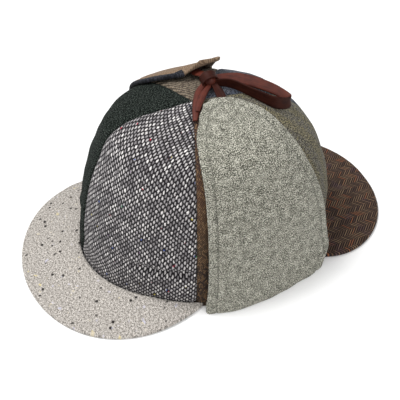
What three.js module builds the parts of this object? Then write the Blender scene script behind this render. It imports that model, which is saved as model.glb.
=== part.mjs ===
// A deerstalker hat: six crown panels, two peaks, two ear flaps turned up and tied over the top.
// Millimetres, +Z up. The front peak points along -Y, and the wearer's left is +X.
import * as THREE from 'three';

const { smoothstep, clamp, degToRad, lerp } = THREE.MathUtils;

// The crown's plan at its lower edge, and its height.
const MIDDLE_Y = -8.25; // the crown's centre, so that the hat's footprint is centred on the origin
const RIM_FRONT = 98;
const RIM_BACK = 109;
const RIM_SIDE = 84;
const CROWN_HEIGHT = 132;
const FRONT_ROUNDNESS = 1.95; // 2 is an ellipse, and more is squarer
const BACK_ROUNDNESS = 2.3;
const TOP_LEAN = 3; // the top sits this far behind the lower edge
const WALL = 2.5;
const GAP = 0.3; // left between neighbouring pieces

// The crown's outline from its lower edge to its top: the share of its height,
// and the shares of the rim's radius in front, behind and at the sides.
const CROWN_ROWS = [
  { up: 0.0, front: 1.0, back: 1.0, side: 1.0 },
  { up: 0.14, front: 0.972, back: 1.018, side: 1.002 },
  { up: 0.36, front: 0.925, back: 1.005, side: 0.98 },
  { up: 0.58, front: 0.856, back: 0.94, side: 0.932 },
  { up: 0.76, front: 0.76, back: 0.825, side: 0.842 },
  { up: 0.89, front: 0.65, back: 0.64, side: 0.715 },
  { up: 0.965, front: 0.38, back: 0.42, side: 0.43 },
  { up: 1.0, front: 0, back: 0, side: 0 },
];

// The lower edge lifts over each peak, by this much and within this half angle of its middle.
const FRONT_RISE = { height: 5.5, half: 78 };
const BACK_RISE = { height: 3, half: 62 };
const RISE_RUN = 30; // degrees over which the edge climbs

// Panels, anticlockwise from the front seam, seen from above; seams in degrees.
const PANELS = [
  { name: 'crown_front_left', from: 0, to: 73, color: 0x8c8a8c },
  { name: 'crown_side_left', from: 73, to: 125, color: 0x4b3726 },
  { name: 'crown_back_left', from: 125, to: 180, color: 0x7d785a },
  { name: 'crown_back_right', from: 180, to: 235, color: 0x555564 },
  { name: 'crown_side_right', from: 235, to: 287, color: 0xb5a48c },
  { name: 'crown_front_right', from: 287, to: 360, color: 0x26302a },
];
const SEAM_DIP = 1.1; // the panels round down into each seam
const SEAM_RUN = 3;
const PANEL_TOP = 0.993; // the panels' points stop just short of the middle of the top
const CREASE = { height: 37, depth: 2, run: 8, from: 35, to: 73 }; // a soft fold over the front peak's ends

// Peaks: reach past the crown, half angle of the sewn edge, and the shape of the outline.
const PEAKS = [
  { name: 'front_peak', middle: 0, reach: 48.5, half: 76, flat: 4.3, round: 0.9, color: 0xc8c0b6 },
  { name: 'back_peak', middle: 180, reach: 54, half: 49.5, flat: 2.2, round: 0.4, color: 0x46321f },
];
const PEAK_INNER = 4; // thickness where it is sewn on, and at its free edge
const PEAK_OUTER = 3.2;
const PEAK_AHEAD = 0.42; // how far the peak turns from straight out towards straight ahead
const PEAK_END = 1.2; // its ends stop at this reach

// An ear flap, row by row from its fold at the rim to its tip: the share of the crown's
// length up, and the angles of its front and back edges from straight ahead.
const FLAP_ROWS = [
  { up: 0, front: 76.8, back: 130 },
  { up: 0.03, front: 76.8, back: 130 },
  { up: 0.055, front: 76.8, back: 130.4 },
  { up: 0.08, front: 76.8, back: 133 },
  { up: 0.12, front: 77, back: 135 },
  { up: 0.25, front: 77.8, back: 134.9 },
  { up: 0.4, front: 78, back: 134.2 },
  { up: 0.55, front: 77.6, back: 133.8 },
  { up: 0.68, front: 76.6, back: 137.4 },
  { up: 0.78, front: 75.2, back: 142.8 },
  { up: 0.85, front: 75, back: 148.4 },
  { up: 0.895, front: 80, back: 154.5 },
  { up: 0.925, front: 86, back: 158.3 },
  { up: 0.945, front: 98, back: 155 },
  { up: 0.96, front: 110, back: 140 },
];
const FLAP_THICK = 3.2;
const FLAP_FOOT = 0.4; // the fold's height over the surface that the hat stands on
const FLAP_HEM = 5; // height of the fold that joins the flap to the rim
const FLAP_STAND = 5.8; // the flap stands off the rim by this much, and lies on the crown higher up
const FLAP_REST = 0.7;
const FLAP_FLARE = { middle: 3, back: 2.6, top: 0.25 }; // how much more it stands off near its fold

// The right flap is turned a little forwards, hangs a little lower, and its tip curls up off the crown.
const FLAPS = [
  { name: 'ear_flap_left', side: 1, forward: [0, 0], tall: 1, curl: [0, 0], color: 0xa0a091 },
  { name: 'ear_flap_right', side: -1, forward: [12, 21], tall: 0.93, curl: [4, 18], color: 0x96826a },
];
const CURL = { x: 62, z: 117, run: 30 }; // where the curl begins, and how far it takes to turn up

// The ribbon that holds the flaps, and its knot.
const RIBBON = { thick: 1.2, color: 0x6e3228 };
const KNOT = { x: -12.6, y: 13.6, z: 137.2, long: 11, wide: 10, high: 10 };

// Each strap of the bow: points along its middle, and the way its width points.
const STRAPS = [
  {
    name: 'tie_left',
    wide: 7,
    width: [0.1, 1, 0.1],
    points: [[3.4, 15.4, 135.2], [-1.4, 15.3, 136], [-6.4, 15, 137]],
  },
  {
    name: 'tie_right',
    wide: 8,
    width: [-0.3, 1, 0.1],
    points: [[-32, 11.4, 132.4], [-25.5, 12.8, 134.6], [-18.9, 13.8, 136.4]],
  },
  {
    name: 'bow_loop',
    wide: 9.6,
    width: [-0.35, 0, 0.94],
    points: [
      [-12.6, 20.2, 137], [-11, 29.1, 135.6], [-6.8, 39.9, 133.8], [-0.6, 49.5, 131.4], [6.1, 59, 127.6],
      [12.5, 65.5, 123.8], [17.5, 66, 123.2], [21, 61.2, 124.8], [22, 54.7, 127.6], [20.4, 49.4, 129.9],
      [14.9, 42.7, 132.4], [7.1, 35.9, 134.1], [0.4, 30.6, 135.2], [-4.4, 25.4, 136], [-7.8, 20.4, 136.8],
    ],
  },
  {
    name: 'bow_tail_front',
    wide: 5,
    width: [0.5, 0.85, 0],
    points: [[-10.6, 5.8, 135.2], [-6, 3.2, 134.9], [2.4, -1.8, 134.8], [14.4, -7.6, 133.8], [23, -11.6, 132.4]],
  },
  {
    name: 'bow_tail_rear',
    wide: 4,
    width: [0.5, 0.85, 0],
    points: [[-5.4, 8.6, 135.8], [-0.8, 5, 136.1], [4.6, 1, 136.3], [10.8, -3.4, 136.1], [17, -7, 135.5]],
  },
];

// A smooth curve through one column of a table's evenly spaced rows.
function column(rows, name, t, evenEnd) {
  const last = rows.length - 1;
  const at = clamp(t, 0, 1) * last;
  const i = Math.min(Math.floor(at), last - 1);
  const f = at - i;
  const b = rows[i][name];
  const c = rows[i + 1][name];
  const a = i > 0 ? rows[i - 1][name] : 2 * b - c;
  const turned = evenEnd ? rows[last - 1][name] : 2 * c - b;
  const d = i < last - 1 ? rows[i + 2][name] : turned;
  return 0.5 * (2 * b + (c - a) * f + (2 * a - 5 * b + 4 * c - d) * f * f + (3 * b - a - 3 * c + d) * f ** 3);
}

function rimHeight(angle) {
  const away = Math.abs(((angle + 540) % 360) - 180);
  const front = FRONT_RISE.height * smoothstep((FRONT_RISE.half - away) / RISE_RUN, 0, 1);
  const back = BACK_RISE.height * smoothstep((away - 180 + BACK_RISE.half) / RISE_RUN, 0, 1);
  return front + back;
}

// A point of the crown's outer face, at an angle from straight ahead and a share t of the way up.
function crownSkin(angle, t) {
  const side = Math.sin(degToRad(angle));
  const ahead = -Math.cos(degToRad(angle));
  const back = BACK_ROUNDNESS - 2;
  const front = FRONT_ROUNDNESS - 2;
  const power = 2 + back * smoothstep(ahead, -0.3, 0.7) + front * smoothstep(-ahead, -0.3, 0.7);
  const round = (Math.abs(side) ** power + Math.abs(ahead) ** power) ** (-1 / power);
  const long = ahead < 0 ? RIM_FRONT * column(CROWN_ROWS, 'front', t) : RIM_BACK * column(CROWN_ROWS, 'back', t);
  const x = RIM_SIDE * column(CROWN_ROWS, 'side', t) * side * round;
  const y = long * ahead * round + TOP_LEAN * smoothstep(t, 0, 1);
  const rim = rimHeight(angle);
  const z = rim + (CROWN_HEIGHT - rim) * column(CROWN_ROWS, 'up', t, true);
  return new THREE.Vector3(x, MIDDLE_Y + y, z);
}

// The same point moved off the skin, outwards where off is positive.
function crownPoint(angle, t, off) {
  const point = crownSkin(angle, t);
  const round = crownSkin(angle + 0.2, t).sub(crownSkin(angle - 0.2, t));
  const up = crownSkin(angle, t + 0.002).sub(crownSkin(angle, t - 0.002));
  return point.addScaledVector(round.cross(up).normalize(), off);
}

// Bends a segmented box: shape gives the place of each vertex from its shares of the box.
function bentBox(columns, rows, layers, shape) {
  const geometry = new THREE.BoxGeometry(1, 1, 1, columns, rows, layers);
  const position = geometry.attributes.position;
  for (let i = 0; i < position.count; i++) {
    const point = shape(position.getX(i) + 0.5, position.getY(i) + 0.5, position.getZ(i) + 0.5);
    position.setXYZ(i, point.x, point.y, point.z);
  }
  return geometry;
}

function piece(name, geometry, color, roughness) {
  const mesh = new THREE.Mesh(geometry, new THREE.MeshStandardMaterial({ color, roughness, metalness: 0 }));
  mesh.name = name;
  return mesh;
}

function creaseDepth(angle, height) {
  const away = Math.abs(((angle + 540) % 360) - 180);
  const along = 0.3 + 0.7 * smoothstep(away, CREASE.from, CREASE.from + 20);
  const end = smoothstep(away, 0, 8) * smoothstep(CREASE.to - away, 0, 8);
  return CREASE.depth * along * end * Math.exp(-(((height - CREASE.height) / CREASE.run) ** 2));
}

// One panel of the crown: a wall between two seams, from the rim to its point at the top.
function crownPanel(panel) {
  const columns = 10;
  const rows = 16;
  return bentBox(columns, rows, 1, (across, up, out) => {
    const t = up * PANEL_TOP;
    const arc = crownSkin(panel.from, t).distanceTo(crownSkin(panel.to, t));
    const run = Math.min(SEAM_RUN / arc, 0.2);
    const step = Math.round(across * columns);
    const near = [0, 0.4 * run, run];
    const inner = lerp(run, 1 - run, (step - 2) / (columns - 4));
    const mirrored = 1 - near[Math.min(columns - step, 2)];
    const share = step < 3 ? near[step] : step > columns - 3 ? mirrored : inner;
    const trim = GAP / arc;
    const angle = lerp(panel.from, panel.to, lerp(trim, 1 - trim, share));
    const dip = SEAM_DIP * Math.max(0, 1 - Math.min(share, 1 - share) / run) ** 2;
    const height = crownSkin(angle, t).z;
    const off = out > 0.5 ? -dip * Math.min(1, arc / 20) : -WALL;
    const point = crownPoint(angle, t, off - creaseDepth(angle, height));
    if (up === 0) point.z = rimHeight(angle);
    return point;
  });
}

// A peak: a flat crescent sewn to the rim, sloping down to rest on its free edge.
function peak(row) {
  return bentBox(32, 4, 1, (across, inward, up) => {
    const turn = Math.sin((across - 0.5) * Math.PI);
    const angle = row.middle + turn * row.half;
    const edge = crownSkin(angle, 0);
    const beside = crownSkin(angle + 0.5, 0).sub(crownSkin(angle - 0.5, 0));
    const straight = row.middle === 0 ? -1 : 1;
    const way = new THREE.Vector2(beside.y, -beside.x).normalize().multiplyScalar(1 - PEAK_AHEAD);
    way.y += straight * PEAK_AHEAD;
    way.normalize();
    const full = row.reach * (1 - Math.abs(turn) ** row.flat) ** row.round;
    const reach = Math.max(full, PEAK_END);
    const start = 3 * GAP;
    const along = lerp(reach, start, inward);
    const slope = smoothstep(along / row.reach, 0, 0.7);
    const under = rimHeight(angle) * (1 - slope);
    const thick = lerp(PEAK_INNER, PEAK_OUTER, along / row.reach);
    return new THREE.Vector3(edge.x + way.x * along, edge.y + way.y * along, under + up * thick);
  });
}

// Turns up the part of a flap that lies over the top, by an angle that grows towards its tip.
function curlUp(point, degrees) {
  const reach = CURL.x - Math.abs(point.x);
  const rise = point.z - CURL.z;
  const turn = degToRad(degrees) * smoothstep(reach / CURL.run, 0, 1);
  point.x = Math.sign(point.x) * (CURL.x - reach * Math.cos(turn) + rise * Math.sin(turn));
  point.z = CURL.z + reach * Math.sin(turn) + rise * Math.cos(turn);
}

// An ear flap: two layers of cloth that fold up from the rim and lie on the crown.
function earFlap(flap) {
  return bentBox(8, 28, 1, (across, up, out) => {
    const share = flap.side > 0 ? across : 1 - across;
    const t = flap.tall * column(FLAP_ROWS, 'up', up);
    const swing = smoothstep(t, 0, 0.8);
    const front = column(FLAP_ROWS, 'front', up) - flap.forward[0] * swing;
    const back = column(FLAP_ROWS, 'back', up) - flap.forward[1] * swing;
    const away = lerp(front, back, share);
    const angle = flap.side * away;
    const middle = FLAP_FLARE.middle * smoothstep(away, 77, 92);
    const flare = middle + FLAP_FLARE.back * smoothstep(away, 114, 130);
    const lying = lerp(FLAP_STAND, FLAP_REST, smoothstep(t, 0, 0.7));
    const stand = lying + flare * (1 - smoothstep(t, 0, FLAP_FLARE.top));
    const height = crownSkin(angle, t).z;
    const inside = lerp(3 * GAP, stand, smoothstep(height, FLAP_HEM, 2.5 * FLAP_HEM));
    const point = crownPoint(angle, t, out > 0.5 ? stand + FLAP_THICK : inside);
    curlUp(point, lerp(flap.curl[0], flap.curl[1], share));
    point.z = up === 0 ? FLAP_FOOT : FLAP_FOOT + (point.z * (CROWN_HEIGHT - FLAP_FOOT)) / CROWN_HEIGHT;
    return point;
  });
}

// A flat strap of ribbon along a curve through its points.
function strap(row) {
  const points = row.points.map((p) => new THREE.Vector3(...p));
  const route = new THREE.CatmullRomCurve3(points, false, 'centripetal');
  const steps = 4 * (points.length - 1);
  return bentBox(steps, 1, 1, (along, across, up) => {
    const tangent = route.getTangent(along);
    const width = new THREE.Vector3(...row.width).projectOnPlane(tangent).normalize();
    const normal = tangent.clone().cross(width);
    const point = route.getPoint(along).addScaledVector(width, (across - 0.5) * row.wide);
    return point.addScaledVector(normal, (up - 0.5) * RIBBON.thick);
  });
}

function knot() {
  const geometry = new THREE.SphereGeometry(0.5, 16, 12);
  geometry.scale(KNOT.wide, KNOT.long, KNOT.high);
  geometry.translate(KNOT.x, KNOT.y, KNOT.z);
  return geometry;
}

const hat = new THREE.Group();
for (const panel of PANELS) hat.add(piece(panel.name, crownPanel(panel), panel.color, 0.95));
for (const row of PEAKS) hat.add(piece(row.name, peak(row), row.color, 0.95));
for (const flap of FLAPS) hat.add(piece(flap.name, earFlap(flap), flap.color, 0.95));
hat.add(piece('bow_knot', knot(), RIBBON.color, 0.6));
for (const row of STRAPS) hat.add(piece(row.name, strap(row), RIBBON.color, 0.6));

export default hat;
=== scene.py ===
# A deerstalker hat of six cloth panels, two peaks and two ear flaps tied over the top with ribbon.
# Metres, +Z up. The front peak points along -Y, and the wearer's left is +X.
import math

import bmesh
import bpy
import numpy as np
from mathutils import Matrix, Vector


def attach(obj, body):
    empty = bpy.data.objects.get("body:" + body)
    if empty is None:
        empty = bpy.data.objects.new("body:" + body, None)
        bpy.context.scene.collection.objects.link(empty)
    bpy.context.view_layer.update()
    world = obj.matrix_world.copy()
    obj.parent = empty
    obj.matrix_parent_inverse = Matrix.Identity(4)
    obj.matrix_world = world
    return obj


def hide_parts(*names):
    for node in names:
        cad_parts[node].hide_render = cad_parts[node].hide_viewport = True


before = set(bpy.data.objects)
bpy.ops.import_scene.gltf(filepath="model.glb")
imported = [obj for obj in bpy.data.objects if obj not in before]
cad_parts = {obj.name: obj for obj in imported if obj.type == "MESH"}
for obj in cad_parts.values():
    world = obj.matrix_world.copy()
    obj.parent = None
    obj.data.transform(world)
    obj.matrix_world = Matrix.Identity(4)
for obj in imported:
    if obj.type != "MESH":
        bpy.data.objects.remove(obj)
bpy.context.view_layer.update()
MM = 0.001

# ---------------------------------------------------------------- camera, light and table
# The hat sits on a white table under soft, even daylight, seen from its left and above.
bpy.context.scene.view_settings.view_transform = "Standard"
VIEW_TURN = math.radians(70.8)
VIEW_RISE = math.radians(43.9)
VIEW_TILT = math.radians(-2.5)
VIEW_DISTANCE = 0.6
VIEW_LENS = 67.7
VIEW_ASIDE = 0.0065
VIEW_UP = -0.0199
VIEW_AIM = Vector((0, -0.00825, 0.060))

away = Vector((
    math.sin(VIEW_TURN) * math.cos(VIEW_RISE),
    -math.cos(VIEW_TURN) * math.cos(VIEW_RISE),
    math.sin(VIEW_RISE),
))
right = Vector((math.cos(VIEW_TURN), math.sin(VIEW_TURN), 0))
up = away.cross(right)
right, up = (
    right * math.cos(VIEW_TILT) + up * math.sin(VIEW_TILT),
    up * math.cos(VIEW_TILT) - right * math.sin(VIEW_TILT),
)
spot = VIEW_AIM + right * VIEW_ASIDE + up * VIEW_UP + away * VIEW_DISTANCE
camera = bpy.data.objects.new("camera", bpy.data.cameras.new("camera"))
camera.data.lens = VIEW_LENS
camera.data.sensor_width = 36
camera.matrix_world = Matrix((
    (right.x, up.x, away.x, spot.x),
    (right.y, up.y, away.y, spot.y),
    (right.z, up.z, away.z, spot.z),
    (0, 0, 0, 1),
))
bpy.context.scene.collection.objects.link(camera)
bpy.context.scene.camera = camera

world = bpy.data.worlds.new("daylight")
world.use_nodes = True
sky = world.node_tree.nodes["Background"]
sky.inputs["Color"].default_value = (1, 1, 1, 1)
sky.inputs["Strength"].default_value = 0.6
bpy.context.scene.world = world


def soft_light(name, place, size, power):
    light = bpy.data.objects.new(name, bpy.data.lights.new(name, "AREA"))
    light.data.size = size
    light.data.energy = power
    light.location = place
    light.rotation_euler = (Vector((0, 0, 0.06)) - Vector(place)).to_track_quat("-Z", "Y").to_euler()
    bpy.context.scene.collection.objects.link(light)


soft_light("key_light", (-0.25, -0.45, 1.3), 0.5, 14)
soft_light("side_light", (0.9, 0.1, 1.1), 0.9, 6)

table = bmesh.new()
bmesh.ops.create_grid(table, x_segments=1, y_segments=1, size=3)
table_mesh = bpy.data.meshes.new("table")
table.to_mesh(table_mesh)
table.free()
table_top = bpy.data.objects.new("table", table_mesh)
bpy.context.scene.collection.objects.link(table_top)
table_white = bpy.data.materials.new("table_white")
table_white.use_nodes = True
table_paint = table_white.node_tree.nodes["Principled BSDF"]
table_paint.inputs["Base Color"].default_value = (0.93, 0.93, 0.93, 1)
table_paint.inputs["Roughness"].default_value = 0.8
table_mesh.materials.append(table_white)

# ---------------------------------------------------------------- crown
# Six tweed panels sewn edge to edge, each cut from a different cloth, with their seams pressed
# inwards. The wall is outer cloth, stiffening and lining together.
RIM_FRONT = 98
RIM_BACK = 109
RIM_SIDE = 84
CROWN_HEIGHT = 132
FRONT_ROUNDNESS = 1.95  # 2 is an ellipse, and more is squarer
BACK_ROUNDNESS = 2.3
TOP_LEAN = 3  # the top sits this far behind the lower edge
MIDDLE_Y = -8.25
WALL = 2.5
# share of the height, and the rim's radius shares in front, behind and at the sides
CROWN_ROWS = {
    "up": (0, 0.14, 0.36, 0.58, 0.76, 0.89, 0.965, 1),
    "front": (1, 0.972, 0.925, 0.856, 0.76, 0.65, 0.38, 0),
    "back": (1, 1.018, 1.005, 0.94, 0.825, 0.64, 0.42, 0),
    "side": (1, 1.002, 0.98, 0.932, 0.842, 0.715, 0.43, 0),
}
# the lower edge lifts over each peak, between these angles from straight ahead
FRONT_RISE = 5.5
BACK_RISE = 3
RISE_RUN = 30
FRONT_RISE_END = 78
BACK_RISE_START = 118


def smooth(x):
    x = np.clip(x, 0, 1)
    return x * x * (3 - 2 * x)


def column(values, t, even_end=False):
    """A smooth curve through evenly spaced values."""
    c = np.array(values, float)
    last = len(c) - 1
    at = np.clip(t, 0, 1) * last
    i = np.minimum(at.astype(int), last - 1)
    f = at - i
    turned = c[-2] if even_end else 2 * c[-1] - c[-2]
    c = np.concatenate([[2 * c[0] - c[1]], c, [turned]])
    a, b, d, e = c[i], c[i + 1], c[i + 2], c[i + 3]
    bend = (2 * a - 5 * b + 4 * d - e) * f**2
    twist = (3 * b - a - 3 * d + e) * f**3
    return 0.5 * (2 * b + (d - a) * f + bend + twist)


def from_front(angle):
    """Degrees away from straight ahead, on either side."""
    return np.abs((angle + 540) % 360 - 180)


def rim_height(angle):
    aside = from_front(angle)
    front = FRONT_RISE * smooth((FRONT_RISE_END - aside) / RISE_RUN)
    return front + BACK_RISE * smooth((aside - BACK_RISE_START) / RISE_RUN)


def crown_skin(angle, t):
    """Points of the crown's outer face, in millimetres."""
    side = np.sin(np.radians(angle))
    ahead = -np.cos(np.radians(angle))
    power = 2 + (BACK_ROUNDNESS - 2) * smooth(ahead + 0.3) + (FRONT_ROUNDNESS - 2) * smooth(0.3 - ahead)
    round_off = (np.abs(side) ** power + np.abs(ahead) ** power) ** (-1 / power)
    front = RIM_FRONT * column(CROWN_ROWS["front"], t)
    back = RIM_BACK * column(CROWN_ROWS["back"], t)
    x = RIM_SIDE * column(CROWN_ROWS["side"], t) * side * round_off
    y = MIDDLE_Y + np.where(ahead < 0, front, back) * ahead * round_off + TOP_LEAN * smooth(t)
    rim = rim_height(angle)
    z = rim + (CROWN_HEIGHT - rim) * column(CROWN_ROWS["up"], t, even_end=True)
    return np.stack([x, y, z], -1)


def crown_normal(angle, t):
    """Unit vectors straight out of the crown there."""
    round_way = crown_skin(angle + 0.2, t) - crown_skin(angle - 0.2, t)
    low = np.clip(t - 0.002, 0, 1)
    high = np.clip(t + 0.002, 0, 0.9995)
    rise_way = crown_skin(angle, high) - crown_skin(angle, low)
    normal = np.cross(round_way, rise_way)
    return normal / np.linalg.norm(normal, axis=-1, keepdims=True)


def waves(x, y, seed):
    """Soft unevenness of handled cloth, about one either way."""
    total = np.zeros_like(x)
    for i, long in enumerate((38, 27, 19, 13, 9)):
        turn = seed * 1.7 + i * 2.4
        along = x * np.cos(turn) + y * np.sin(turn)
        total += np.sin(2 * np.pi * along / long + seed * (i + 1)) * (0.8**i)
    return total / 2.4


def finish_piece(mesh, name, materials, nodes):
    """Makes the piece from its mesh, parents it to the root body, and hides the solids that it stands for.
    """
    piece = bpy.data.objects.new(name, mesh)
    bpy.context.scene.collection.objects.link(piece)
    for material in materials:
        mesh.materials.append(material)
    for polygon in mesh.polygons:
        polygon.use_smooth = True
    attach(piece, "root")
    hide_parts(*nodes)
    return piece


def lay_cloth(columns, rows, shape, skins=1):
    """A grid of cloth whose vertices shape() places: shape(across, up, out) gives each point, the
    cloth's own flat coordinates there and the distance from its edge, all in millimetres. Two
    skins, an outer and an inner one, are joined along their edges."""
    cloth = bmesh.new()
    for _ in range(skins):
        bmesh.ops.create_grid(cloth, x_segments=columns, y_segments=rows, size=0.5)
    count = len(cloth.verts) // skins
    cloth.verts.ensure_lookup_table()
    share = np.array([v.co[:2] for v in cloth.verts]) + 0.5
    uv_layer = cloth.loops.layers.uv.new("cloth")
    points = np.zeros((len(share), 3))
    flat = np.zeros((len(share), 2))
    from_edge = np.zeros(len(share))
    edge_layer = cloth.verts.layers.float.new("from_edge")
    for k in range(skins):
        part = slice(k * count, (k + 1) * count)
        placed = shape(share[part, 0], share[part, 1], k == 0)
        points[part], flat[part], from_edge[part] = placed
    for vertex, point, distance in zip(cloth.verts, points, from_edge):
        vertex.co = point * MM
        vertex[edge_layer] = distance
    if skins == 2:
        bmesh.ops.bridge_loops(cloth, edges=[e for e in cloth.edges if e.is_boundary])
    for face in cloth.faces:
        face.material_index = int(all(vertex.index >= count for vertex in face.verts))
        for loop in face.loops:
            loop[uv_layer].uv = flat[loop.vert.index]
    if skins == 2:
        bmesh.ops.remove_doubles(cloth, verts=cloth.verts, dist=1e-6)
        bmesh.ops.recalc_face_normals(cloth, faces=cloth.faces)
    mesh = bpy.data.meshes.new("cloth")
    cloth.to_mesh(mesh)
    cloth.free()
    return mesh


SIDE_SEAM = 73
SEAM_DIP = 1.3
SEAM_RUN = 3.2
SOFTNESS = 0.55
PANEL_TOP = 0.9985  # the panels' points all but meet in the middle of the top
TUCK = 1.5  # the lower edge turns in this far over each peak
# a soft fold across each front panel, with a lip over it
CREASE_HEIGHT = 37
CREASE_DEPTH = 4.2
CREASE_RUN = 4.0
CREASE_LIP = 2.0
# the front seam wanders off straight: how far up, over what share, and by how many degrees
SEAM_BOWS = ((0.84, 0.13, -7.5), (0.17, 0.05, 1.6), (0.05, 0.04, -1.8))


def panel_shape(start, end, seed):
    """One panel of the crown, between its seams' angles."""
    def shape(across, up, out):
        t = up * PANEL_TOP
        near = crown_skin(np.full_like(t, start), t)
        far = crown_skin(np.full_like(t, end), t)
        arc = np.maximum(np.linalg.norm(near - far, axis=-1), 0.05)
        share = across - 0.035 * np.sin(2 * np.pi * across)
        edge = np.minimum(share, 1 - share)
        angle = start + (end - start) * share
        pull = np.zeros_like(share)
        if start == 0:
            pull = (1 - share) ** 2
        elif end == 360:
            pull = share**2
        for place, length, degrees in SEAM_BOWS:
            angle = angle + degrees * pull * np.exp(-(((t - place) / length) ** 2))
        point = crown_skin(angle, t)
        run = np.minimum(SEAM_RUN / arc, 0.3)
        dip = SEAM_DIP * np.maximum(0, 1 - edge / run) ** 1.7 * np.minimum(1, arc / 18)
        aside = from_front(angle)
        over = (point[:, 2] - CREASE_HEIGHT - 0.12 * (60 - aside)) / CREASE_RUN
        crease = CREASE_DEPTH * np.exp(-(over**2)) - CREASE_LIP * np.exp(-((over - 1.7) ** 2))
        crease *= (0.3 + 0.7 * smooth((aside - 35) / 20)) * smooth(edge * arc / 8) * (aside < SIDE_SEAM)
        above = point[:, 2] - rim_height(angle) - 4
        tuck = TUCK * np.exp(-np.maximum(above, 0) / 3) * (rim_height(angle) > 0.3)
        soft = waves((share - 0.5) * arc, point[:, 2], seed) * SOFTNESS
        soft *= smooth(edge / 0.2) * smooth(t * 12)
        off = soft - dip - crease - tuck
        point = point + crown_normal(angle, t) * off[:, None]
        point[:, 2] = np.where(up < 1e-6, rim_height(angle), point[:, 2])
        steps = np.linspace(0, PANEL_TOP, 400)
        line = crown_skin(np.full_like(steps, (start + end) / 2), steps)
        length = np.concatenate([[0], np.cumsum(np.linalg.norm(np.diff(line, axis=0), axis=-1))])
        flat = np.stack([(share - 0.5) * arc * 1.04, np.interp(t, steps, length)], -1)
        return point, flat, edge * arc
    return shape


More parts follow.
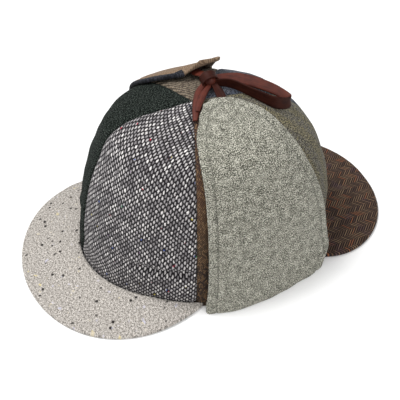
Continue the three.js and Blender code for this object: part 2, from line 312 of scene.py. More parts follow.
class Cloth:
    """A cloth's material. It builds up its colour and relief from the piece's own flat
    coordinates, in millimetres, so that the weave follows the cloth."""

    def __init__(self, name, roughness=0.95, sheen=0.05):
        self.material = bpy.data.materials.new(name)
        self.material.use_nodes = True
        self.tree = self.material.node_tree
        self.shader = self.tree.nodes["Principled BSDF"]
        self.shader.inputs["Roughness"].default_value = roughness
        self.shader.inputs["Sheen Weight"].default_value = sheen
        self.shader.inputs["Sheen Roughness"].default_value = 0.6
        self.shader.inputs["Specular IOR Level"].default_value = 0.2
        source = self.tree.nodes.new("ShaderNodeUVMap")
        source.uv_map = "cloth"
        self.flat = source.outputs["UV"]

    def put(self, socket, value):
        if isinstance(value, bpy.types.NodeSocket):
            self.tree.links.new(value, socket)
        else:
            socket.default_value = value

    def math(self, kind, a, b=0.0, c=0.0):
        node = self.tree.nodes.new("ShaderNodeMath")
        node.operation = kind
        for socket, value in zip(node.inputs, (a, b, c)):
            self.put(socket, value)
        return node.outputs[0]

    def vector(self, kind, a, b=(0, 0, 0)):
        node = self.tree.nodes.new("ShaderNodeVectorMath")
        node.operation = kind
        self.put(node.inputs[0], a)
        self.put(node.inputs[1], b)
        return node.outputs[0]

    def split(self, vector):
        node = self.tree.nodes.new("ShaderNodeSeparateXYZ")
        self.put(node.inputs[0], vector)
        return node.outputs[0], node.outputs[1]

    def join(self, x, y, z=0.0):
        node = self.tree.nodes.new("ShaderNodeCombineXYZ")
        for socket, value in zip(node.inputs, (x, y, z)):
            self.put(socket, value)
        return node.outputs[0]

    def noise(self, size, where=None, detail=2.0, colour=False):
        """Noise whose lumps are about size millimetres."""
        node = self.tree.nodes.new("ShaderNodeTexNoise")
        node.inputs["Scale"].default_value = 1.0 / size
        node.inputs["Detail"].default_value = detail
        self.put(node.inputs["Vector"], where or self.flat)
        return node.outputs["Color"] if colour else node.outputs[0]

    def random(self, where):
        node = self.tree.nodes.new("ShaderNodeTexWhiteNoise")
        node.noise_dimensions = "2D"
        self.put(node.inputs["Vector"], where)
        return node.outputs["Value"]

    def mix(self, share, a, b):
        node = self.tree.nodes.new("ShaderNodeMix")
        node.data_type = "RGBA"
        self.put(node.inputs[0], share)
        for socket, value in ((node.inputs[6], a), (node.inputs[7], b)):
            if isinstance(value, tuple):
                value = (*value, 1.0)
            self.put(socket, value)
        return node.outputs[2]

    def ramp(self, value, stops, hard=False):
        node = self.tree.nodes.new("ShaderNodeValToRGB")
        if hard:
            node.color_ramp.interpolation = "CONSTANT"
        while len(node.color_ramp.elements) < len(stops):
            node.color_ramp.elements.new(0.5)
        for element, (place, colour) in zip(node.color_ramp.elements, stops):
            element.position = place
            element.color = (*colour, 1.0)
        self.put(node.inputs[0], value)
        return node.outputs[0]

    def step(self, value, low, high):
        """0 below low, 1 above high, smooth between."""
        node = self.tree.nodes.new("ShaderNodeMapRange")
        node.interpolation_type = "SMOOTHSTEP"
        node.inputs["From Min"].default_value = low
        node.inputs["From Max"].default_value = high
        self.put(node.inputs["Value"], value)
        return node.outputs[0]

    def wander(self, amount, size):
        """The flat coordinates, shifted about a little as hand-woven threads are."""
        shift = self.vector("SUBTRACT", self.noise(size, colour=True), (0.5, 0.5, 0.5))
        node = self.tree.nodes.new("ShaderNodeVectorMath")
        node.operation = "MULTIPLY_ADD"
        self.put(node.inputs[0], shift)
        node.inputs[1].default_value = (amount, amount, 0)
        self.put(node.inputs[2], self.flat)
        return node.outputs[0]

    def floats(self, where, wide, tall, fat=0.55, long=0.85):
        """Oval floats of a plain weave, one on every other crossing. Gives how far inside a float
        a place is, from 1 in its middle to 0 at its edge, a random value for each float, and the
        float's own whole-number place."""
        x, y = self.split(where)
        a = self.math("DIVIDE", x, wide)
        b = self.math("DIVIDE", y, tall)
        s = self.math("MULTIPLY", self.math("ADD", a, b), 0.5)
        t = self.math("ADD", self.math("MULTIPLY", self.math("SUBTRACT", a, b), 0.5), 0.5)
        ds = self.math("SUBTRACT", self.math("FRACT", s), 0.5)
        dt = self.math("SUBTRACT", self.math("FRACT", t), 0.5)
        da = self.math("DIVIDE", self.math("ADD", ds, dt), fat)
        db = self.math("DIVIDE", self.math("SUBTRACT", ds, dt), long)
        reach = self.math("ADD", self.math("MULTIPLY", da, da), self.math("MULTIPLY", db, db))
        inside = self.math("SUBTRACT", 1.0, reach)
        cell = self.join(self.math("FLOOR", s), self.math("FLOOR", t))
        return inside, self.random(cell), cell

    def finish(self, colour, height, depth):
        """Joins the colour and the height, in millimetres of relief, to the shader."""
        self.put(self.shader.inputs["Base Color"], colour)
        bump = self.tree.nodes.new("ShaderNodeBump")
        bump.inputs["Strength"].default_value = 1.0
        bump.inputs["Distance"].default_value = depth * MM
        self.put(bump.inputs["Height"], height)
        self.tree.links.new(bump.outputs[0], self.shader.inputs["Normal"])
        return self.material


def shade(r, g, b):
    """A colour given in ordinary screen values, as the shader wants it."""
    return tuple((c / 255 / 12.92) if c < 10.3 else ((c / 255 + 0.055) / 1.055) ** 2.4 for c in (r, g, b))


def black_white_hopsack():
    cloth = Cloth("tweed_black_white")
    shift = cloth.vector("SUBTRACT", cloth.noise(1.7, detail=1, colour=True), (0.5, 0.5, 0.5))
    where = cloth.vector("ADD", cloth.wander(1.0, 9), cloth.vector("MULTIPLY", shift, (1.3, 1.3, 0)))
    inside, chance, cell = cloth.floats(where, 1.9, 2.15, 0.46, 0.84)
    fibre = cloth.noise(0.45, detail=2)
    ragged = cloth.math("ADD", inside, cloth.math("MULTIPLY", cloth.math("SUBTRACT", fibre, 0.5), 2.2))
    mask = cloth.step(ragged, 0.1, 0.85)
    bright = cloth.ramp(chance, [
        (0, shade(120, 115, 117)), (0.3, shade(156, 152, 154)),
        (0.75, shade(196, 191, 191)), (1, shade(234, 230, 228)),
    ])
    second = cloth.random(cloth.vector("ADD", cell, (17.3, 5.1, 0)))
    tint = cloth.ramp(second, [
        (0, shade(60, 150, 100)), (0.2, shade(190, 40, 70)), (0.42, shade(190, 175, 70)),
        (0.6, shade(60, 85, 160)), (0.8, shade(120, 90, 130)),
    ], hard=True)
    patch = cloth.noise(4.5, cloth.vector("ADD", where, (40, 13, 0)), 0)
    speck = cloth.math("MULTIPLY", cloth.step(patch, 0.765, 0.78), cloth.step(second, 0.1, 0.12))
    light = cloth.mix(speck, bright, tint)
    dark = cloth.mix(cloth.noise(1.2, detail=3), shade(7, 6, 8), shade(34, 32, 34))
    colour = cloth.mix(mask, dark, light)
    height = cloth.math("ADD", cloth.math("MAXIMUM", inside, -0.2), cloth.math("MULTIPLY", fibre, 0.5))
    return cloth.finish(colour, height, 0.45)


def milled_green():
    cloth = Cloth("wool_dark_green", sheen=0.0)
    cloth.shader.inputs["Specular IOR Level"].default_value = 0.08
    x, y = cloth.split(cloth.wander(1.5, 12))
    soft = cloth.noise(0.9, detail=4)
    nap = cloth.noise(0.6, detail=3)
    colour = cloth.ramp(soft, [
        (0.42, shade(2, 3, 3)), (0.5, shade(14, 18, 16)),
        (0.55, shade(32, 39, 35)), (0.64, shade(84, 92, 86)),
    ])
    lines = []
    for part, gap in ((x, 11.0), (y, 13.0)):
        cycle = cloth.math("FRACT", cloth.math("DIVIDE", part, gap))
        aside = cloth.math("ABSOLUTE", cloth.math("SUBTRACT", cycle, 0.5))
        lines.append(cloth.step(aside, 0.40, 0.49))
    check = cloth.math("MULTIPLY", cloth.math("MAXIMUM", lines[0], lines[1]), 0.11)
    colour = cloth.mix(check, colour, shade(76, 82, 78))
    height = cloth.math("ADD", soft, cloth.math("MULTIPLY", nap, 0.6))
    return cloth.finish(colour, height, 0.7)


def brown_tweed():
    cloth = Cloth("tweed_brown")
    where = cloth.wander(0.8, 7)
    inside, chance, _ = cloth.floats(where, 1.0, 1.05)
    _, y = cloth.split(where)
    drift = cloth.math("MULTIPLY", cloth.noise(14), 0.12)
    band = cloth.math("ADD", cloth.math("DIVIDE", y, 190), drift)
    tone = cloth.ramp(band, [
        (0.06, shade(66, 47, 34)), (0.25, shade(58, 44, 32)), (0.37, shade(84, 66, 44)),
        (0.5, shade(96, 70, 46)), (0.62, shade(98, 68, 48)), (0.75, shade(72, 50, 50)),
    ])
    lively = cloth.mix(cloth.step(chance, 0.3, 1.0), tone, shade(140, 108, 76))
    colour = cloth.mix(cloth.step(inside, -0.3, 0.6), shade(20, 14, 11), lively)
    return cloth.finish(colour, cloth.math("ADD", inside, cloth.noise(0.4)), 0.45)


def olive_check():
    cloth = Cloth("tweed_olive")
    x, _ = cloth.split(cloth.wander(2.0, 10))
    soft = cloth.noise(1.1, detail=3)
    across = cloth.step(cloth.math("SINE", cloth.math("MULTIPLY", x, 0.33)), -0.6, 0.8)
    tone = cloth.mix(across, shade(122, 115, 92), shade(114, 110, 100))
    patch = cloth.step(cloth.noise(2.4, cloth.vector("ADD", cloth.flat, (60, 9, 0)), 3), 0.5, 0.66)
    tone = cloth.mix(cloth.math("MULTIPLY", patch, 0.7), tone, shade(138, 130, 90))
    colour = cloth.mix(cloth.step(soft, 0.45, 0.56), shade(34, 31, 24), tone)
    pale = cloth.step(cloth.noise(1.5, cloth.vector("ADD", cloth.flat, (7, 90, 0)), 2), 0.62, 0.7)
    colour = cloth.mix(cloth.math("MULTIPLY", pale, 0.6), colour, shade(176, 170, 150))
    return cloth.finish(colour, soft, 0.7)


def blue_grey():
    cloth = Cloth("tweed_blue_grey")
    soft = cloth.noise(1.2, detail=4)
    broad = cloth.noise(14, detail=2)
    tone = cloth.mix(cloth.step(broad, 0.35, 0.65), shade(80, 85, 98), shade(100, 101, 106))
    colour = cloth.mix(cloth.step(soft, 0.44, 0.58), shade(30, 32, 40), tone)
    return cloth.finish(colour, soft, 0.7)


def cream_black_twill():
    cloth = Cloth("twill_cream_black")
    where = cloth.wander(0.6, 8)
    x, y = cloth.split(where)
    slope = cloth.math("FRACT", cloth.math("DIVIDE", cloth.math("ADD", x, y), 3.6))
    rib = cloth.step(cloth.math("ABSOLUTE", cloth.math("SUBTRACT", slope, 0.5)), 0.08, 0.3)
    inside, chance, _ = cloth.floats(where, 0.9, 0.9)
    light = cloth.ramp(chance, [(0, shade(104, 88, 72)), (1, shade(186, 170, 146))])
    colour = cloth.mix(cloth.math("MULTIPLY", rib, 0.75), light, shade(40, 32, 28))
    colour = cloth.mix(cloth.step(inside, -0.5, 0.4), shade(44, 36, 32), colour)
    return cloth.finish(colour, cloth.math("SUBTRACT", inside, rib), 0.3)


# name, angles of the two seams, cloth and slot, anticlockwise from the front seam
PANELS = (
    ("crown_front_left", 0, SIDE_SEAM, black_white_hopsack, "tweed_black_white"),
    ("crown_side_left", SIDE_SEAM, 125, brown_tweed, "tweed_brown"),
    ("crown_back_left", 125, 180, olive_check, "tweed_olive"),
    ("crown_back_right", 180, 235, blue_grey, "tweed_blue_grey"),
    ("crown_side_right", 235, 360 - SIDE_SEAM, cream_black_twill, "twill_cream_black"),
    ("crown_front_right", 360 - SIDE_SEAM, 360, milled_green, "wool_dark_green"),
)
for seed, (name, start, end, weave, slot) in enumerate(PANELS, 1):
    mesh = lay_cloth(90, 150, panel_shape(start, end, seed))
    panel = finish_piece(mesh, name + "_cloth", [weave()], [name])
    wall = panel.modifiers.new("wall", "SOLIDIFY")
    wall.thickness = WALL * MM
    wall.offset = -1

# ---------------------------------------------------------------- peaks
# Each peak is a stiff crescent covered in cloth, turned over a firm core and sewn to the crown's
# lower edge, one in front and one behind.
PEAK_INNER = 4.0  # thickness where it is sewn on, and at its free edge
PEAK_OUTER = 3.2
PEAK_AHEAD = 0.42  # how far it turns from straight out towards straight ahead
PEAK_TUCKED = 0.8  # how far it reaches in under the crown's edge
PEAK_ROUNDING = 1.8  # how far in from the free edge it rounds off


def rounded(share):
    """Rises from 0 to 1 as a quarter circle does."""
    return np.sqrt(np.clip(1 - (1 - np.clip(share, 0, 1)) ** 2, 0, 1))


def peak_shape(middle, reach, half, flatness, roundness):
    """A crescent round the rim, sloping down to lie flat towards its free edge."""
    def shape(across, inward, top):
        turn = np.sin((across - 0.5) * np.pi)
        angle = middle + turn * half
        zero = np.zeros_like(angle)
        edge = crown_skin(angle, zero)
        beside = crown_skin(angle + 0.5, zero) - crown_skin(angle - 0.5, zero)
        way = np.stack([beside[:, 1], -beside[:, 0]], -1)
        way /= np.linalg.norm(way, axis=-1, keepdims=True)
        way *= 1 - PEAK_AHEAD
        way[:, 1] += PEAK_AHEAD * (-1 if middle == 0 else 1)
        way /= np.linalg.norm(way, axis=-1, keepdims=True)
        full = reach * np.maximum(1 - np.abs(turn) ** flatness, 0) ** roundness
        full = np.maximum(full, 0.3)
        share = np.sin((1 - inward) * np.pi / 2) ** 0.9
        along = -PEAK_TUCKED + (full + PEAK_TUCKED) * share
        slope = smooth(along / reach / 0.7)
        thick = PEAK_INNER + (PEAK_OUTER - PEAK_INNER) * np.clip(along / reach, 0, 1)
        middle_height = rim_height(angle) * (1 - slope) + thick / 2
        inset = full - along
        bulge = rounded(inset / PEAK_ROUNDING)
        out = (thick / 2) * bulge * (1 if top else -1)
        x = edge[:, 0] + way[:, 0] * along
        y = edge[:, 1] + way[:, 1] * along
        lump = waves(x, y, 3.3 + middle) * 0.35 * smooth(along / 12) * bulge
        z = np.maximum(middle_height + out + lump, 0.02)
        return np.stack([x, y, z], -1), np.stack([x, y], -1), inset
    return shape


def pale_tweed():
    cloth = Cloth("tweed_cream")
    where = cloth.wander(0.8, 5)
    speckle = cloth.noise(0.7, detail=4)
    thread = cloth.noise(1.6, cloth.vector("ADD", cloth.flat, (53, 17, 0)), 3)
    value = cloth.math("ADD", cloth.math("MULTIPLY", speckle, 0.65), cloth.math("MULTIPLY", thread, 0.35))
    colour = cloth.ramp(value, [
        (0.38, shade(78, 74, 70)), (0.44, shade(127, 122, 116)),
        (0.51, shade(167, 161, 154)), (0.62, shade(226, 220, 213)),
    ])
    spots = cloth.tree.nodes.new("ShaderNodeTexVoronoi")
    spots.inputs["Scale"].default_value = 1 / 5.2
    spots.inputs["Randomness"].default_value = 1.0
    cloth.put(spots.inputs["Vector"], cloth.wander(2.0, 2.5))
    pick, other = cloth.split(spots.outputs["Color"])
    near = cloth.math("SUBTRACT", 1.0, cloth.step(spots.outputs["Distance"], 0.18, 0.31))
    dark_spot = cloth.math("MULTIPLY", near, cloth.step(pick, 0.72, 0.74))
    colour = cloth.mix(dark_spot, colour, shade(44, 40, 38))
    tint = cloth.step(cloth.noise(5.5, cloth.vector("ADD", where, (31, 77, 0)), 1), 0.66, 0.74)
    warm = cloth.mix(other, shade(214, 198, 140), shade(190, 190, 214))
    colour = cloth.mix(cloth.math("MULTIPLY", tint, 0.75), colour, warm)
    return cloth.finish(colour, value, 0.35)


def brown_herringbone():
    cloth = Cloth("herringbone_brown")
    where = cloth.wander(0.5, 6)
    x, y = cloth.split(where)
    band = cloth.math("DIVIDE", x, 5.6)
    zigzag = cloth.math("PINGPONG", cloth.math("ADD", band, 100.0), 1.0)
    odd = cloth.math("MODULO", cloth.math("ADD", cloth.math("FLOOR", band), 100.0), 2.0)
    phase = cloth.math("ADD", cloth.math("DIVIDE", y, 2.4), cloth.math("MULTIPLY", zigzag, 2.2))
    phase = cloth.math("ADD", phase, cloth.math("MULTIPLY", odd, 0.5))
    stroke = cloth.math("ABSOLUTE", cloth.math("SUBTRACT", cloth.math("FRACT", phase), 0.5))
    line = cloth.step(stroke, 0.1, 0.26)
    which = cloth.random(cloth.join(cloth.math("FLOOR", phase), cloth.math("FLOOR", band)))
    thread = cloth.ramp(which, [
        (0, shade(70, 50, 39)), (0.4, shade(106, 82, 62)),
        (0.8, shade(128, 104, 80)), (1, shade(138, 84, 54)),
    ])
    broad = cloth.noise(16, detail=2)
    thread = cloth.mix(cloth.math("MULTIPLY", cloth.step(broad, 0.55, 0.7), 0.5), thread, shade(100, 72, 84))
    colour = cloth.mix(line, thread, shade(28, 19, 17))
    scatter = cloth.noise(1.6, cloth.vector("ADD", cloth.flat, (11, 47, 0)), 1)
    fleck = cloth.step(scatter, 0.76, 0.8)
    colour = cloth.mix(cloth.math("MULTIPLY", fleck, 0.7), colour, shade(136, 110, 90))
    height = cloth.math("SUBTRACT", cloth.noise(0.5), cloth.math("MULTIPLY", line, 0.8))
    return cloth.finish(colour, height, 0.3)


# name, angle of its middle, reach, half angle, shape of the outline, cloth and slot
PEAKS = (
    ("front_peak", 0, 48.5, 76, 4.3, 0.9, pale_tweed, "tweed_cream"),
    ("back_peak", 180, 54, 49.5, 2.2, 0.4, brown_herringbone, "herringbone_brown"),
)
for name, middle, reach, half, flatness, roundness, weave, slot in PEAKS:
    mesh = lay_cloth(170, 60, peak_shape(middle, reach, half, flatness, roundness), skins=2)
    cover = weave()
    finish_piece(mesh, name + "_cloth", [cover, cover], [name])

# ---------------------------------------------------------------- ear flaps
# Each ear flap is two layers of cloth bagged out and topstitched near the edge. It folds up from
# the lower edge and lies on the crown, and the right one's tip curls up off it.
# share of the way up the crown, and the angles of the front and back edges
FLAP_ROWS = {
    "up": (0, 0.03, 0.055, 0.08, 0.12, 0.25, 0.4, 0.55, 0.68, 0.78, 0.85, 0.895, 0.925, 0.945, 0.96),
    "front": (76.8, 76.8, 76.8, 76.8, 77, 77.8, 78, 77.6, 76.6, 75.2, 75, 80, 86, 98, 110),
    "back": (
        130, 130.6, 131.8, 133.4, 135, 134.9, 134.2, 133.8, 137.4, 142.8, 148.4, 154.5, 158.3, 155, 140,
    ),
}
FLAP_TOP = 0.96
FLAP_THICK = 3.2
FLAP_JOIN = 0.7  # where in its thickness the two layers meet along the edge
FLAP_FOOT = 0.4  # height of the fold over the table
FLAP_HEM = 5.0  # height of the fold that joins the flap to the rim
FLAP_STAND = 5.8  # how far it stands off the rim, and off the crown higher up
FLAP_REST = 0.7
FLARE_MIDDLE = 3  # how much more it stands off near its fold
FLARE_BACK = 2.6
FLARE_TOP = 0.25
STITCHING = 7.5  # from the edge to the topstitching
CURL_PLACE = (62.0, 117.0)
CURL_RUN = 30.0
PAINTED_SHADE_ROLL = 1.8  # how far the dark navy lining is laid over the outer face at the front edge as painted shade for the flap's shadowed underside, and how much more at the tip
PAINTED_SHADE_TIP_ROLL = 3.5
TAN_ROLL = 9  # how far the outer cloth rolls in over the rear edge


def curl_up(point, share, low, high):
    """Bends a flap's tip up off the crown, more at its back than at its front."""
    reach = CURL_PLACE[0] - np.abs(point[:, 0])
    rise = point[:, 2] - CURL_PLACE[1]
    turn = np.radians(low + (high - low) * share) * smooth(reach / CURL_RUN)
    bent = point.copy()
    bent[:, 0] = np.sign(point[:, 0]) * (CURL_PLACE[0] - reach * np.cos(turn) + rise * np.sin(turn))
    bent[:, 2] = CURL_PLACE[1] + reach * np.sin(turn) + rise * np.cos(turn)
    return bent


def flap_shape(side, forward, tall, curl):
    """Two layers that stand up off the rim's fold and lie on the crown."""
    def shape(across, up, out):
        share = across if side > 0 else 1 - across
        share = share - 0.07 * np.sin(2 * np.pi * share)
        t = tall * column(FLAP_ROWS["up"], up)
        swing = smooth(t / 0.8)
        front = column(FLAP_ROWS["front"], up) - forward[0] * swing
        back = column(FLAP_ROWS["back"], up) - forward[1] * swing
        angle = side * (front + (back - front) * share)
        width = np.linalg.norm(crown_skin(side * front, t) - crown_skin(side * back, t), axis=-1)
        width = np.maximum(width, 1)
        aside = np.abs(angle)
        flare = FLARE_MIDDLE * smooth((aside - 77) / 15) + FLARE_BACK * smooth((aside - 114) / 16)
        lying = FLAP_STAND + (FLAP_REST - FLAP_STAND) * smooth(t / 0.7)
        stand = lying + flare * (1 - smooth(t / FLARE_TOP))
        skin = crown_skin(angle, t)
        hem = smooth((skin[:, 2] - FLAP_HEM) / (1.5 * FLAP_HEM))
        inside = 0.4 + (stand - 0.4) * hem
        outside = stand + FLAP_THICK
        steps = np.linspace(0, FLAP_TOP * tall, 300)
        line = crown_skin(np.full_like(steps, side * 105.0), steps)
        length = np.concatenate([[0], np.cumsum(np.linalg.norm(np.diff(line, axis=0), axis=-1))])
        height = np.interp(t, steps, length)
        tip = length[-1] - height
        edge = np.minimum(np.minimum(share, 1 - share) * width, tip)
        bulge = rounded(edge / 2.2)
        groove = 0.8 * np.exp(-(((edge - STITCHING) / 1.1) ** 2))
        soft = waves((share - 0.5) * width, height, 5.5 + side) * 0.5 * smooth(edge / 15)
        join = inside + (outside - inside) * FLAP_JOIN
        reach = (outside - join - groove) if out else (inside - join + groove)
        off = join + soft + reach * bulge
        point = skin + crown_normal(angle, t) * off[:, None]
        point = curl_up(point, share, *curl) if curl else point
        lifted = FLAP_FOOT + point[:, 2] * (CROWN_HEIGHT - FLAP_FOOT) / CROWN_HEIGHT
        point[:, 2] = np.where(up < 1e-6, FLAP_FOOT, lifted)
        return point, np.stack([(share - 0.5) * width, height], -1), edge
    return shape


def grey_heather():
    cloth = Cloth("wool_grey")
    fine = cloth.noise(0.5, detail=3)
    clump = cloth.noise(0.95, cloth.vector("ADD", cloth.flat, (33, 71, 0)), 3)
    broad = cloth.noise(5.0, detail=3)
    value = cloth.math("ADD", cloth.math("MULTIPLY", fine, 0.55), cloth.math("MULTIPLY", clump, 0.33))
    value = cloth.math("ADD", value, cloth.math("MULTIPLY", broad, 0.12))
    colour = cloth.ramp(value, [
        (0.4, shade(10, 11, 8)), (0.45, shade(54, 54, 46)),
        (0.505, shade(118, 117, 105)), (0.58, shade(220, 218, 204)),
    ])
    edge = cloth.tree.nodes.new("ShaderNodeAttribute")
    edge.attribute_name = "from_edge"
    seam = cloth.math("ABSOLUTE", cloth.math("SUBTRACT", edge.outputs["Fac"], STITCHING))
    line = cloth.math("SUBTRACT", 1.0, cloth.step(seam, 0.25, 1.1))
    colour = cloth.mix(cloth.math("MULTIPLY", line, 0.4), colour, shade(66, 66, 58))
    height = cloth.math("ADD", fine, cloth.math("MULTIPLY", clump, 0.4))
    return cloth.finish(colour, height, 0.34)


def tan_herringbone():
    cloth = Cloth("herringbone_tan")
    where = cloth.wander(0.5, 6)
    x, y = cloth.split(where)
    band = cloth.math("DIVIDE", x, 5.5)
    odd = cloth.math("MODULO", cloth.math("ADD", cloth.math("FLOOR", band), 100.0), 2.0)
    lean = cloth.math("SUBTRACT", cloth.math("MULTIPLY", odd, 2.0), 1.0)
    within = cloth.math("MULTIPLY", cloth.math("FRACT", band), 5.5)
    phase = cloth.math("DIVIDE", cloth.math("ADD", y, cloth.math("MULTIPLY", within, lean)), 2.0)
    stroke = cloth.math("ABSOLUTE", cloth.math("SUBTRACT", cloth.math("FRACT", phase), 0.5))
    line = cloth.step(stroke, 0.14, 0.32)
    tone = cloth.mix(cloth.noise(2.2, detail=3), shade(112, 88, 68), shade(166, 144, 120))
    colour = cloth.mix(cloth.math("MULTIPLY", line, 0.6), tone, shade(84, 66, 52))
    return cloth.finish(colour, cloth.math("SUBTRACT", cloth.noise(0.5), line), 0.3)


def navy_lining_with_painted_shade():
    cloth = Cloth("wool_navy_painted_shade")
    speckle = cloth.noise(0.9, detail=4)
    # near-black colours: the lining's own navy, darkened as painted shade for the flap's underside in shadow
    colour = cloth.ramp(speckle, [
        (0.35, shade(8, 9, 12)), (0.5, shade(20, 22, 29)), (0.68, shade(66, 66, 74)),
    ])
    return cloth.finish(colour, speckle, 0.4)


# name, side, how far its edges turn forwards, height, curl of the front and back, cloths and slot
FLAPS = (
    ("ear_flap_left", 1, (0, 0), 1, None, grey_heather, grey_heather, "wool_grey"),
    ("ear_flap_right", -1, (12, 21), 0.93, (4, 18), tan_herringbone, navy_lining_with_painted_shade, "herringbone_tan"),
)
for name, side, forward, tall, curl, outer, inner, slot in FLAPS:
    mesh = lay_cloth(84, 170, flap_shape(side, forward, tall, curl), skins=2)
    # near the front edge the dark navy lining goes on the outer face as painted shade for the flap's
    # shadowed underside; along the rear edge the outer cloth goes on both skins
    if curl:
        for polygon in mesh.polygons:
            corner = mesh.vertices[polygon.vertices[0]]
            inset = mesh.attributes["from_edge"].data[corner.index].value
            shade_band = PAINTED_SHADE_ROLL + PAINTED_SHADE_TIP_ROLL * smooth((corner.co.z / MM - 118) / 14)
            if inset < TAN_ROLL and corner.co.y > 0:
                polygon.material_index = 0
            elif inset < shade_band:
                polygon.material_index = 1
    finish_piece(mesh, name + "_cloth", [outer(), inner()], [name])

# ---------------------------------------------------------------- ribbon
# One length of satin ribbon from each flap's tip, tied over the top in a single bow with two
# short tails.
RIBBON_THICK = 1.0


def satin(name, bright, gloss):
    """The ribbon's face, or its reverse, with less gloss and a colour darkened as painted shade."""
    cloth = Cloth(name, roughness=0.55, sheen=0.0)
    cloth.shader.inputs["Specular IOR Level"].default_value = gloss
    x, y = cloth.split(cloth.flat)
    streak = cloth.noise(1.0, cloth.join(cloth.math("MULTIPLY", x, 0.08), y), 3)
    broad = cloth.noise(7)
    low, middle, high = (
        shade(*(part * bright for part in rgb)) for rgb in ((60, 22, 15), (82, 34, 23), (106, 50, 34))
    )
    colour = cloth.mix(cloth.step(broad, 0.3, 0.7), low, middle)
    colour = cloth.mix(cloth.math("MULTIPLY", cloth.step(streak, 0.4, 0.7), 0.35), colour, high)
    return cloth.finish(colour, streak, 0.1)


ribbon_cloth = satin("ribbon_red_brown", 1.04, 0.28)
# the reverse's darker colour is painted shade, for undersides such as the bow loop's lower band in the
# shadow of its upper band
ribbon_reverse_painted_shade = satin("ribbon_dull_reverse_painted_shade", 0.62, 0.1)


def route(points, steps):
    """Evenly spaced places along a smooth curve through the points."""
    p = np.array(points, float)
    values = [column(p[:, k], np.linspace(0, 1, steps)) for k in range(3)]
    return np.stack(values, -1)


def strap(node, name, points, widths, wide, cup=0.0):
    """A flat strap of ribbon. widths are the ways that its width points, spread along it, and
    wide gives its width at each share of its length."""
    steps = 24 * (len(points) - 1)
    line = route(points, steps + 1)
    tangent = np.gradient(line, axis=0)
    tangent /= np.linalg.norm(tangent, axis=-1, keepdims=True)
    width = route(widths * 2 if len(widths) == 1 else widths, steps + 1)
    width = width - tangent * np.sum(width * tangent, -1, keepdims=True)
    width /= np.linalg.norm(width, axis=-1, keepdims=True)
    normal = np.cross(tangent, width)
    length = np.concatenate([[0], np.cumsum(np.linalg.norm(np.diff(line, axis=0), axis=-1))])

    def shape(along, across, out):
        i = np.clip(np.round(along * steps).astype(int), 0, steps)
        turn = across - 0.5
        broad = np.interp(along, np.linspace(0, 1, len(wide)), wide)
        edge = (0.5 - np.abs(turn)) * broad
        half = RIBBON_THICK / 2 * rounded(edge / 0.5) * (1 if out else -1)
        bend = -cup * (2 * turn) ** 2
        point = line[i] + width[i] * (turn * broad)[:, None] + normal[i] * (half + bend)[:, None]
        return point, np.stack([length[i], turn * broad], -1), edge

    mesh = lay_cloth(steps, 10, shape, skins=2)
    return finish_piece(mesh, name, [ribbon_cloth, ribbon_reverse_painted_shade], [node])


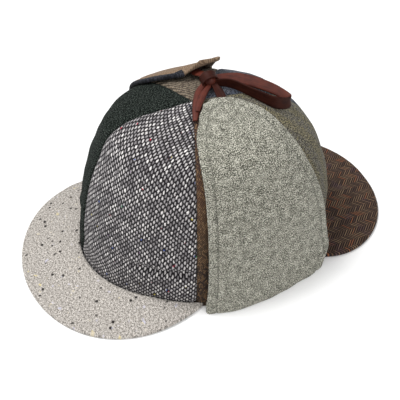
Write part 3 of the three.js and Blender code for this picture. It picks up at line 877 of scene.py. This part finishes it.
strap(
    "tie_left", "tie_left_ribbon",
    [(8, 15.4, 134.2), (3.4, 15.4, 135.3), (-1.4, 15.3, 136), (-10, 14.6, 137.6)],
    [(0.1, 1, 0.1)], (6.8, 6.8, 6.4, 5, 4), 0.5,
)
strap(
    "tie_right", "tie_right_ribbon",
    [(-38, 10.6, 130.9), (-32, 11.4, 132.5), (-25.5, 12.8, 134.6), (-14, 14, 137.2)],
    [(-0.3, 1, 0.1)], (8, 8, 7.6, 6.4, 5), 0.5,
)
strap(
    "bow_loop", "bow_loop_ribbon",
    [
        (-12.6, 14, 137.6), (-11, 29.1, 135.8), (-6.8, 39.9, 134), (-0.6, 49.5, 131.6), (6.1, 59, 127.8),
        (13, 65.4, 123.9), (18, 66, 123.2), (21, 61.2, 124.8), (22, 54.7, 127.6), (20, 49.4, 129.8),
        (14, 42.9, 132.2), (5.8, 36.1, 134), (-1.6, 30.6, 135.1), (-6.4, 24.4, 136), (-9.6, 14, 136.8),
    ],
    [(-0.6, 0.25, 0.7), (-0.62, 0.25, 0.7), (-0.55, 0.2, 0.75), (-0.2, 0, 0.94), (0, 0, 1), (0, 0, 1)],
    (6, 8.6, 8.6, 7.6, 7.4, 8.6, 9.4, 9.2, 8.8, 8.6, 6), 0.3,
)
strap(
    "bow_tail_front", "bow_tail_front_ribbon",
    [(-11.4, 8.6, 136.2), (-6, 3.2, 135.2), (2.4, -1.8, 134.9), (14.4, -7.6, 133.7), (23, -11.6, 132.3)],
    [(0.5, 0.85, 0), (0.5, 0.85, 0), (0.6, 0.75, 0.25)], (4, 6, 6, 5.4, 3.6), 0.6,
)
strap(
    "bow_tail_rear", "bow_tail_rear_ribbon",
    [(-7.4, 11.4, 136.6), (-0.8, 5, 136.2), (4.6, 1, 136.3), (10.8, -3.4, 135.9), (17, -7, 135.2)],
    [(0.5, 0.85, 0), (0.4, 0.85, -0.2)], (4, 5, 5, 4.4, 3), 0.6,
)

KNOT_PLACE = (-12.8, 13.6, 137.4)
KNOT_SIZE = (13, 10.4, 11)

knot = bmesh.new()
bmesh.ops.create_uvsphere(knot, u_segments=64, v_segments=32, radius=0.5)
knot_uv = knot.loops.layers.uv.new("cloth")
for vertex in knot.verts:
    x, y, z = vertex.co
    pleat = 1 + 0.05 * math.sin(x * 26 + z * 9)
    shares = (x, y * pleat, z * pleat)
    vertex.co = Vector([a * b + c for a, b, c in zip(shares, KNOT_SIZE, KNOT_PLACE)]) * MM
for face in knot.faces:
    for loop in face.loops:
        loop[knot_uv].uv = (loop.vert.co.x / MM, loop.vert.co.y / MM)
knot_mesh = bpy.data.meshes.new("knot")
knot.to_mesh(knot_mesh)
knot.free()
finish_piece(knot_mesh, "bow_knot_ribbon", [ribbon_cloth], ["bow_knot"])
# one turn of ribbon round the knot
WRAP_PLACE = (-12.2, 13.4, 137.4)
WRAP_REACH = (1.6, 5.9, 6.1)

wrap = []
for degrees in range(-130, 231, 30):
    level = math.cos(math.radians(degrees))
    aside = math.sin(math.radians(degrees))
    wrap.append([a + b * c for a, b, c in zip(WRAP_PLACE, WRAP_REACH, (level, aside, level))])
strap(
    "bow_knot", "bow_knot_wrap", wrap,
    [(1, 0, -0.2)], (7.6, 8.4, 8, 8.4, 7.6), 0.5,
)
